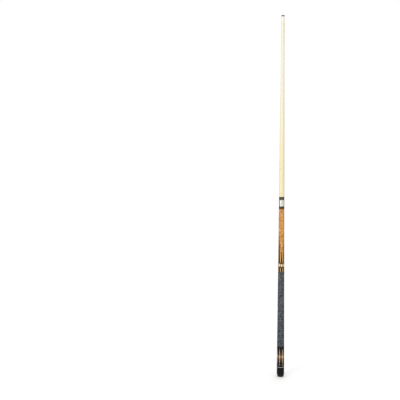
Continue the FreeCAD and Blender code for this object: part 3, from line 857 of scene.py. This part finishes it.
def linen_thread():
    """Pressed linen thread, dark with pale flecks: each thread is speckled along its length."""
    look = Look("speckled_linen")
    thread = look.node("ShaderNodeAttribute", attribute_name="thread").outputs["Vector"]
    along, turn, across = look.node("ShaderNodeSeparateXYZ", {"Vector": thread}).outputs
    whole = look.calc("FLOOR", turn)

    def dashes(per_m, turn_step, third, **kw):
        """Noise along the thread, in its own place on each turn."""
        point = look.join(look.mul(along, per_m), look.mul(whole, turn_step), third)
        return look.noise(point, **kw)

    # flecks: dashes with frayed ends, thicker in patches
    patch = look.grain(across=210, along=190, rough=0.6)
    fleck = dashes(300.0, turn_step=3.71, third=look.mul(across, 0.35), detail=3.0, rough=0.65)
    fleck = look.add(fleck, look.mul(look.sub(patch, 0.5), 0.34))
    fleck = look.ease(fleck, span=(0.53, 0.60))
    pale = dashes(240.0, turn_step=1.93, third=4.0)
    pale = look.ramp(pale, (0.3, "787c80"), (0.55, "9c9fa0"), (0.75, "c6c5bf"))
    ground = dashes(420.0, turn_step=7.1, third=1.0)
    ground = look.ramp(ground, (0.3, "1f232a"), (0.6, "32373f"), (0.8, "4b5058"))
    col = look.mix(ground, pale, by=fleck)
    # twisted strands: fine slanting lines over each thread, with painted shade in the grooves
    # between the strands
    slant = look.weighted((along, 2600.0), (across, 5.5))
    strand = look.fit(look.calc("SINE", look.mul(slant, 2.2)), span=(-1.0, 1.0))
    fuzz = look.grain(across=3200, along=3200, rough=0.6)
    # painted shade: up to a quarter darker, towards near-black, in the low grooves between strands
    col = look.mix(col, "0b0b0c", by=look.fit(strand, span=(0.0, 0.5), to=(0.25, 0.0)))
    height = look.weighted((strand, 0.6), (fuzz, 0.5))
    look.set(
        Base_Color=col,
        Roughness=0.75,
        Specular_IOR_Level=0.12,
        Sheen_Weight=0.03,
        Sheen_Roughness=0.5,
        Normal=look.bump(height, strength=0.4, distance=0.00006),
    )
    return look.mat


# ------------------------------------------------------------------ ferrule, tip, pad and bumper
def ferrule_white():
    """White ferrule with lathe lines and a chalk stain at its upper end."""
    look = Look("white_ferrule")
    head = top("ferrule")
    cloud = look.grain(across=170, along=60, detail=3.0, rough=0.6)
    col = look.ramp(cloud, (0.3, "f4efe2"), (0.6, "fcf9f0"), (0.8, "fffdf8"))
    lines = look.layers(along=7000.0, rough=0.7)
    stain = look.grain(across=420, along=260, detail=4.0, rough=0.7)
    stain = look.fit(stain, span=(0.46, 0.7), to=(0.0, 0.55))
    stain = look.mul(stain, look.ease(look.z, span=(head - 0.006, head)))
    look.set(
        Base_Color=look.mix(col, "8fa5b8", by=stain),
        Roughness=look.fit(lines, span=(0.3, 0.7), to=(0.24, 0.34)),
        Specular_IOR_Level=0.5,
        Subsurface_Weight=0.15,
        Subsurface_Radius=(0.0015, 0.0012, 0.0009),
        Normal=look.bump(lines, strength=0.02, distance=0.00003),
    )
    return look.mat


def tip_leather():
    """Pressed leather: a burnished dark side and a rough crown with chalk in the nap."""
    look = Look("tip_leather")
    foot = bottom("tip")
    crown = look.ease(look.z, span=(foot + 0.0019, foot + 0.0028))
    nap = look.grain(across=2400, along=2400, detail=5.0, rough=0.7)
    layer = look.layers(along=3800.0, across=60.0, detail=3.0, rough=0.6)
    side = look.ramp(layer, (0.3, "1b1a1c"), (0.6, "34302f"), (0.8, "4b423b"))
    chalky = look.ramp(nap, (0.3, "2b3440"), (0.5, "47586b"), (0.68, "7088a0"), (0.85, "9db0c0"))
    look.set(
        Base_Color=look.mix(side, chalky, by=crown),
        Roughness=look.fit(crown, span=(0.0, 1.0), to=(0.38, 0.95)),
        Specular_IOR_Level=0.35,
        Normal=look.bump(look.mix(layer, nap, by=crown), strength=0.5, distance=0.00012),
    )
    return look.mat


def fibre_pad():
    look = Look("pressed_fibre")
    felt = look.grain(across=1800, along=700, detail=4.0, rough=0.6)
    col = look.ramp(felt, (0.3, "121317"), (0.6, "22242a"), (0.8, "3a3c42"))
    normal = look.bump(felt, strength=0.2, distance=0.00008)
    look.set(Base_Color=col, Roughness=0.5, Normal=normal)
    return look.mat


def rubber():
    """Moulded rubber: matt, finely grained, greyed with dust low down."""
    look = Look("moulded_rubber")
    grain = look.grain(across=3000, along=3000, detail=3.0, rough=0.6)
    blotch = look.grain(across=260, along=260, detail=4.0, rough=0.6)
    col = look.ramp(blotch, (0.3, "151515"), (0.6, "1f1f1f"), (0.8, "2c2b2a"))
    dust = look.grain(across=700, along=700, detail=4.0, rough=0.7)
    dust = look.fit(dust, span=(0.42, 0.75), to=(0.0, 0.45))
    low = look.ease(look.z, span=(0.0, 0.006), to=(1.0, 0.15))
    look.set(
        Base_Color=look.mix(col, "77736c", by=look.mul(low, dust)),
        Roughness=look.fit(blotch, span=(0.3, 0.7), to=(0.62, 0.82)),
        Specular_IOR_Level=0.35,
        Normal=look.bump(grain, strength=0.35, distance=0.00008),
    )
    return look.mat


# material by slot
MAT = {
    "pale_maple": maple_pale(),
    "amber_maple": maple_amber(),
    "dark_wood": dark_wood(),
    "veneer_cream": veneer(
        "light_veneer", fibre=(1800, 50), broad=(200, 25), fibre_share=0.55,
        tones=("d8ac66", "ecc78a", "f6dcae"),
    ),
    "bar_tan": veneer(
        "tan_wood", fibre=(1700, 40), broad=(240, 60), fibre_share=0.5,
        tones=("9c7747", "c19b6a", "d9bb8e"),
    ),
    "inlay_cream": cream_inlay(),
    "panel_brown": gold_brown(),
    "sleeve_black": black_lacquer(),
    "cap_black": black_resin(
        "black_cap_resin", base="0e0e0e", rough=0.24, shine=0.18, worn_z=bottom("butt_cap")
    ),
    # painted sheen: the collars' black resin gets a dark brown-grey base, partly its own dark tone
    # and partly standing in for the glossy reflections that lighten it
    "collar_black": black_resin("black_collar_resin_painted_sheen", base="3c3325", rough=0.13, shine=0.28),
    "ring_metal": metal(
        "bright_turned_ring", "c2c4c6", rough=0.2, lines_per_m=8000.0, line_bump=0.10, tarnish=0.12
    ),
    "joint_steel": metal(
        "polished_stainless", "f3f0e8", rough=0.2, lines_per_m=6500.0, line_bump=0.05, tarnish=0.08
    ),
    "plain_steel": metal(
        "machined_steel", "b9b9b6", rough=0.28, lines_per_m=5200.0, line_bump=0.15, tarnish=0.2
    ),
    "brass": metal(
        "turned_brass", "d2a656", rough=0.22, lines_per_m=5600.0, line_bump=0.12, tarnish=0.35,
        tint="7b5a2a",
    ),
    "linen": linen_thread(),
    "ferrule_white": ferrule_white(),
    "tip_leather": tip_leather(),
    "fibre_pad": fibre_pad(),
    "rubber_black": rubber(),
    "handle_wood": plain_maple(),
}
# nodes whose tone differs from their slot's
OWN = {
    "forearm_ring": dark_wood("brown_ring_wood", gain=3.4),
    # painted sheen: the shaft collar's black resin gets a lighter olive brown-grey base that
    # stands in for the glossy reflections on it
    "shaft_collar": black_resin(
        "shaft_collar_resin_painted_sheen", base="4e4838", rough=0.13, shine=0.28
    ),
    "sleeve_spears": cream_inlay("toned_cream_inlay", gain=0.8),
}


def material_of(node):
    return OWN.get(node, MAT[SLOT[node]])


for node, ob in NODES.items():
    ob.data.materials.clear()
    ob.data.materials.append(material_of(node))


# ------------------------------------------------------------------ shaft, ferrule and tip
def build_shaft():
    seat_min_r = 0.0100  # the tenon below the seat is narrower
    skin_min_r = 0.0064  # the tenon in the ferrule is narrower
    foot_edge, head_edge = 0.00015, 0.0001  # bevels at the two ends of the skin
    stations = levels("shaft")
    seat = min(z for z, r in stations if r > seat_min_r)
    foot, head = bottom("shaft"), top("shaft")
    ferrule_z = bottom("ferrule")
    skin = [
        (z, r) for z, r in stations if seat - 1e-6 <= z <= ferrule_z + 1e-6 and r > skin_min_r
    ]
    curve = smooth_curve(skin, step=0.012)
    seat_r = curve[0][1]
    end_z, end_r = curve[-1]
    tenon_r, head_r = outer_at("shaft", foot), outer_at("shaft", head)
    insert_top = top("shaft_insert")
    bore = outer_at("shaft_insert", insert_top)
    profile = [
        (bore, foot), (tenon_r, foot), (tenon_r, seat),
        (seat_r - foot_edge, seat), (seat_r, seat + foot_edge),
        *[(r, z) for z, r in curve[1:-1]],
        (end_r, end_z - head_edge), (end_r - head_edge, end_z),
        (head_r, ferrule_z), (head_r, head), (0.0, head), (0.0, insert_top), (bore, insert_top),
    ]
    revolve("shaft_turned", profile, "shaft", MAT["pale_maple"])


def build_ferrule():
    foot, head = bottom("ferrule"), top("ferrule")
    r, bore = widest("ferrule"), inner_at("ferrule", foot)
    roof = top("shaft")
    edge = 0.00012
    profile = [
        (bore, foot), (r - edge, foot), (r, foot + edge), (r, head - edge * 0.5),
        (r - edge * 0.5, head), (0.0, head), (0.0, roof), (bore, roof),
    ]
    revolve("ferrule_turned", profile, "ferrule", MAT["ferrule_white"])


def build_tip():
    """The tip: a slightly swollen burnished side and a crown with a scuffed, fibrous nap."""
    nap_height, swell = 0.00007, 0.00007
    foot_edge, foot_rise = 0.00008, 0.00006  # bevel inwards and upwards at the foot
    side_steps, crown_steps = 8, 26
    foot, head, r0 = bottom("tip"), top("tip"), widest("tip")
    side_top = max(z for z, r in levels("tip") if r > r0 - 2e-5)
    dome = ((head - side_top) ** 2 + r0**2) / (2 * (head - side_top))
    rnd = random.Random(11)
    # (frequency, phase and heading, phase, heading)
    waves = [
        (rnd.uniform(900, 5200), rnd.uniform(0, 6.28), rnd.uniform(0, 6.28), rnd.uniform(0, 6.28))
        for _ in range(26)
    ]

    def nap(x, y, z):
        total = 0.0
        for freq, a, b, c in waves:
            first = math.sin(freq * (x * math.cos(a) + y * math.sin(a) + z * 0.7) + b)
            total += first * math.cos(freq * 0.63 * (y * math.cos(c) - x * math.sin(c)) + a)
        return total / len(waves) * 2.0

    def place(angle, r, z, rough):
        x, y = r * math.cos(angle), r * math.sin(angle)
        lift = nap(x, y, z) * nap_height * rough
        if rough == 1.0:
            return (x, y, min(z + lift, head))
        return (x * (1 + lift / r), y * (1 + lift / r), z)

    # (radius, z, share of the nap)
    rows = [(0.0, foot, 0.0), (r0 - foot_edge, foot, 0.0)]
    for i in range(side_steps + 1):
        t = i / side_steps
        z = foot + foot_rise + (side_top - foot - foot_rise) * t
        rows.append((r0 + swell * math.sin(math.pi * t), z, 0.15))
    for i in range(1, crown_steps):
        r = r0 * (1 - i / crown_steps)
        rows.append((r, head - dome + math.sqrt(dome**2 - r**2), 1.0))
    rows.append((0.0, head, 0.0))
    revolve("tip_crowned", rows, "tip", MAT["tip_leather"], segs=120, place=place, crisp=35)


build_shaft()
build_ferrule()
build_tip()


# ------------------------------------------------------------------ linen wrap
def close_wrap(bm, z0, z1, inner):
    """Add end faces down to the inner radius, then the inner wall."""
    rings = []
    for level, up in ((z0, False), (z1, True)):
        edges = [
            e for e in bm.edges
            if len(e.link_faces) == 1 and all(abs(v.co.z - level) < 1e-8 for v in e.verts)
        ]
        made = {}
        for e in edges:
            pairs = []
            for v in e.verts:
                angle = math.atan2(v.co.y, v.co.x)
                key = round(angle, 5)
                if key not in made:
                    made[key] = bm.verts.new(on_circle(angle, inner(level), level))
                pairs.append((v, made[key]))
            (p, p_in), (q, q_in) = pairs
            f = bm.faces.new([p, q, q_in, p_in] if p_in is not q_in else [p, q, q_in])
            f.normal_update()
            if (f.normal.z > 0) != up:
                f.normal_flip()
        rings.append(sorted(made.items()))
    for tri in bridge(*rings):
        bm.faces.new(tri)


def build_wrap():
    """One long thread wound round the handle, each turn pressed flat on top."""
    z0, z1 = bottom("linen_wrap"), top("linen_wrap")
    r_low, r_high = outer_at("linen_wrap", z0), outer_at("linen_wrap", z1)
    inner = taper(z0, inner_at("linen_wrap", z0), z1, inner_at("linen_wrap", z1))
    outer = taper(z0, r_low, z1, r_high)
    pitch, per_turn = 0.00082, 44
    wobble = 0.000012
    # (share of the pitch, drop): a flat crown, and steep sides down to a narrow valley
    shape = [(0.0, 0.00013), (0.22, 0.00002), (0.5, 0.0), (0.78, 0.00002)]
    across = len(shape)
    turns = int(math.ceil((z1 - z0) / pitch)) + 1
    n = turns * per_turn
    girth = math.pi * (r_low + r_high)
    verts, thread = [], []
    # the last turn has only the valley that closes the turn below it
    for i in range(n + per_turn + 1):
        base = z0 - pitch + pitch * i / per_turn
        for share, drop in shape if i <= n else shape[:1]:
            z = min(max(base + share * pitch, z0), z1)
            waver = wobble * math.sin(i * 0.37 + 1.3 * math.sin(i * 0.011))
            verts.append(on_circle(TURN * i / per_turn, outer(z) - drop + waver, z))
            thread.append((i / per_turn * girth, i / per_turn, share))

    def vert_at(i, j):
        if j == across:
            i, j = i + per_turn, 0
        return i * across + j if i <= n else (n + 1) * across + (i - n - 1)

    faces = []
    for i in range(n):
        for j in range(across):
            quad = (vert_at(i, j), vert_at(i + 1, j), vert_at(i + 1, j + 1), vert_at(i, j + 1))
            zs = [verts[v][2] for v in quad]
            if max(zs) - min(zs) >= 1e-9:
                faces.append(quad)
    me = bpy.data.meshes.new("linen_wound")
    me.from_pydata(verts, [], faces)
    # (length along the thread, turn, place across the thread)
    att = me.attributes.new("thread", "FLOAT_VECTOR", "POINT")
    att.data.foreach_set("vector", np.array(thread, np.float32).ravel())
    bm = bmesh.new()
    bm.from_mesh(me)
    bmesh.ops.delete(bm, geom=[v for v in bm.verts if not v.link_faces], context="VERTS")
    ends = [v for v in bm.verts if v.co.z <= z0 + 1e-9 or v.co.z >= z1 - 1e-9]
    bmesh.ops.remove_doubles(bm, verts=ends, dist=2e-5)
    bmesh.ops.dissolve_degenerate(bm, dist=1e-7, edges=bm.edges[:])
    close_wrap(bm, z0, z1, inner)
    bm.to_mesh(me)
    bm.free()
    for p in me.polygons:
        p.use_smooth = True
    add_part("linen_wound", me, "linen_wrap", MAT["linen"])


build_wrap()


# ------------------------------------------------------------------ butt sleeve, rings, forearm
# host, its inlays, the angle where its surface is cut to unroll it, rows of the grid
INLAID_RINGS = (
    ("butt_sleeve", ("sleeve_spears", "sleeve_panels", "sleeve_dots"), -90.0, 22),
    ("window_ring", ("window_bars",), -90.0, 6),
    ("oval_ring", ("oval_inlays",), -67.5, 5),
)
FOREARM_INLAYS = (
    "long_points", "short_points", "long_veneers", "short_veneers", "tip_diamonds",
)


def build_forearm():
    z0, z1 = top("oval_ring"), bottom("forearm_ring")
    tenon = inner_at("forearm_ring", z1)
    inlaid("forearm", FOREARM_INLAYS, z0, z1, bore=tenon, cut_deg=-67.5, rows=30)
    # the core, with its tenons for the ring work below and the joint above
    foot, head = bottom("forearm"), top("forearm")
    pin_foot = bottom("joint_pin")
    stud_r, pin_r = widest("a_joint_stud"), outer_at("joint_pin", pin_foot)
    stud_roof = top("a_joint_stud") + MM
    wide = inner_at("oval_ring", z0)
    profile = [
        (stud_r, foot), (wide, foot), (wide, z0), (tenon, z0), (tenon, head), (pin_r, head),
        (pin_r, pin_foot), (0.0, pin_foot), (0.0, stud_roof), (stud_r, stud_roof),
    ]
    revolve("forearm_core", profile, "forearm", MAT["handle_wood"], segs=96)


for host, inlays, cut_deg, rows in INLAID_RINGS:
    foot = bottom(host)
    inlaid(host, inlays, foot, top(host), inner_at(host, foot), cut_deg, rows)
build_forearm()


# ------------------------------------------------------------------ stage, light and camera
def grey(level):
    return (level, level, level, 1)


def floor_paper():
    """Lit paper near the foot that gives way to the room's own white further out."""
    look = Look("pale_paper")
    blotch = look.noise(look.point, scale=3.0, detail=3.0)
    away = look.node("ShaderNodeVectorMath", {"Vector": look.point}, operation="LENGTH")
    away = away.outputs["Value"]
    seen = look.camera_ray()
    fade = (0.12, 1.1)  # distances between which the paper gives way
    paper = look.ramp(blotch, (0.3, (0.80, 0.80, 0.795, 1)), (0.7, (0.83, 0.83, 0.825, 1)))
    paper = look.mix(paper, grey(0.07), by=look.ease(away, span=fade))
    unseen = look.mix(grey(0.84), grey(0.3), by=look.fit(look.y, span=(-0.4, 0.5)))
    look.set(
        Base_Color=look.mix(unseen, paper, by=seen),
        Roughness=0.9,
        Specular_IOR_Level=0.05,
        Emission_Color=grey(1.0),
        Emission_Strength=look.mul(seen, look.ease(away, span=fade, to=(0.16, 0.94))),
    )
    return look.mat


def build_floor():
    side, cells = 12.0, 24  # half width of the floor, squares along each side
    steps = [-side + 2 * side * i / cells for i in range(cells + 1)]
    verts = [(x, y, 0.0) for x in steps for y in steps]
    corners = [i * (cells + 1) + j for i in range(cells) for j in range(cells)]
    faces = [(a, a + cells + 1, a + cells + 2, a + 1) for a in corners]
    me = bpy.data.meshes.new("studio_floor")
    me.from_pydata(verts, [], faces)
    ob = link_object("studio_floor", me)
    me.materials.append(floor_paper())
    # the bumper always stands on the floor: when it is drawn out, the floor goes down with it
    follow = ob.constraints.new("COPY_LOCATION")
    follow.target = NODES["bumper"].parent
    follow.use_x = follow.use_y = False


def area(name, place, aim_z, size, power, color=(1, 1, 1)):
    """An area light aimed at a height on the cue's axis."""
    light = bpy.data.lights.new(name, "AREA")
    light.shape = "RECTANGLE"
    light.size, light.size_y = size
    light.energy = power
    light.color = color
    ob = link_object(name, light)
    ob.location = place
    aim = Vector((0, 0, aim_z)) - Vector(place)
    ob.rotation_euler = aim.to_track_quat("-Z", "Y").to_euler()


def build_world():
    """Light in front and overhead, dim low down at the back and right, white where it is seen."""
    world = bpy.data.worlds.new("studio_air")
    world.use_nodes = True
    graph = Graph(world.node_tree)

    def mix(fac, a, b):
        return graph.node("ShaderNodeMix", {0: fac, 2: a, 3: b}).outputs[0]

    ray = graph.node("ShaderNodeTexCoord").outputs["Generated"]
    height = graph.node("ShaderNodeSeparateXYZ", {0: ray}).outputs[2]
    back_right = (0.42, 0.91, 0.0)
    turned = graph.node("ShaderNodeVectorMath", {0: ray, 1: back_right}, operation="DOT_PRODUCT")
    behind = graph.ease(turned.outputs["Value"], span=(-0.35, 0.45))
    over = graph.ease(height, span=(0.10, 0.50), to=(0.10, 0.75))
    front_level, seen_level = 0.86, 1.0
    room = mix(behind, front_level, over)
    background = world.node_tree.nodes["Background"]
    background.inputs[0].default_value = grey(1.0)
    graph.put(background.inputs[1], mix(graph.camera_ray(), room, seen_level))
    bpy.context.scene.world = world


def build_camera():
    data = bpy.data.cameras.new("photo_view")
    data.lens = 53.62
    data.sensor_width = 36.0
    camera = link_object("photo_view", data)
    camera.location = (-0.33175, -2.417, 0.9304)
    down_deg, roll_deg = 4.565, 0.2
    camera.rotation_euler = (math.radians(90 - down_deg), math.radians(roll_deg), 0.0)
    scene = bpy.context.scene
    scene.camera = camera
    scene.view_settings.view_transform = "Standard"
    scene.view_settings.look = "None"


build_floor()
area("key", (-2.3, -2.5, 1.7), aim_z=0.75, size=(0.8, 2.4), power=28, color=(1.0, 0.985, 0.96))
area("fill", (2.6, -1.4, 1.2), aim_z=0.75, size=(0.6, 2.2), power=2.8, color=(0.93, 0.965, 1.0))
area("top", (0.0, 0.4, 3.8), aim_z=0.6, size=(2.0, 2.0), power=24)
area("rear", (0.9, 2.6, 3.0), aim_z=0.8, size=(2.2, 1.6), power=22, color=(0.96, 0.98, 1.0))
build_world()
build_camera()
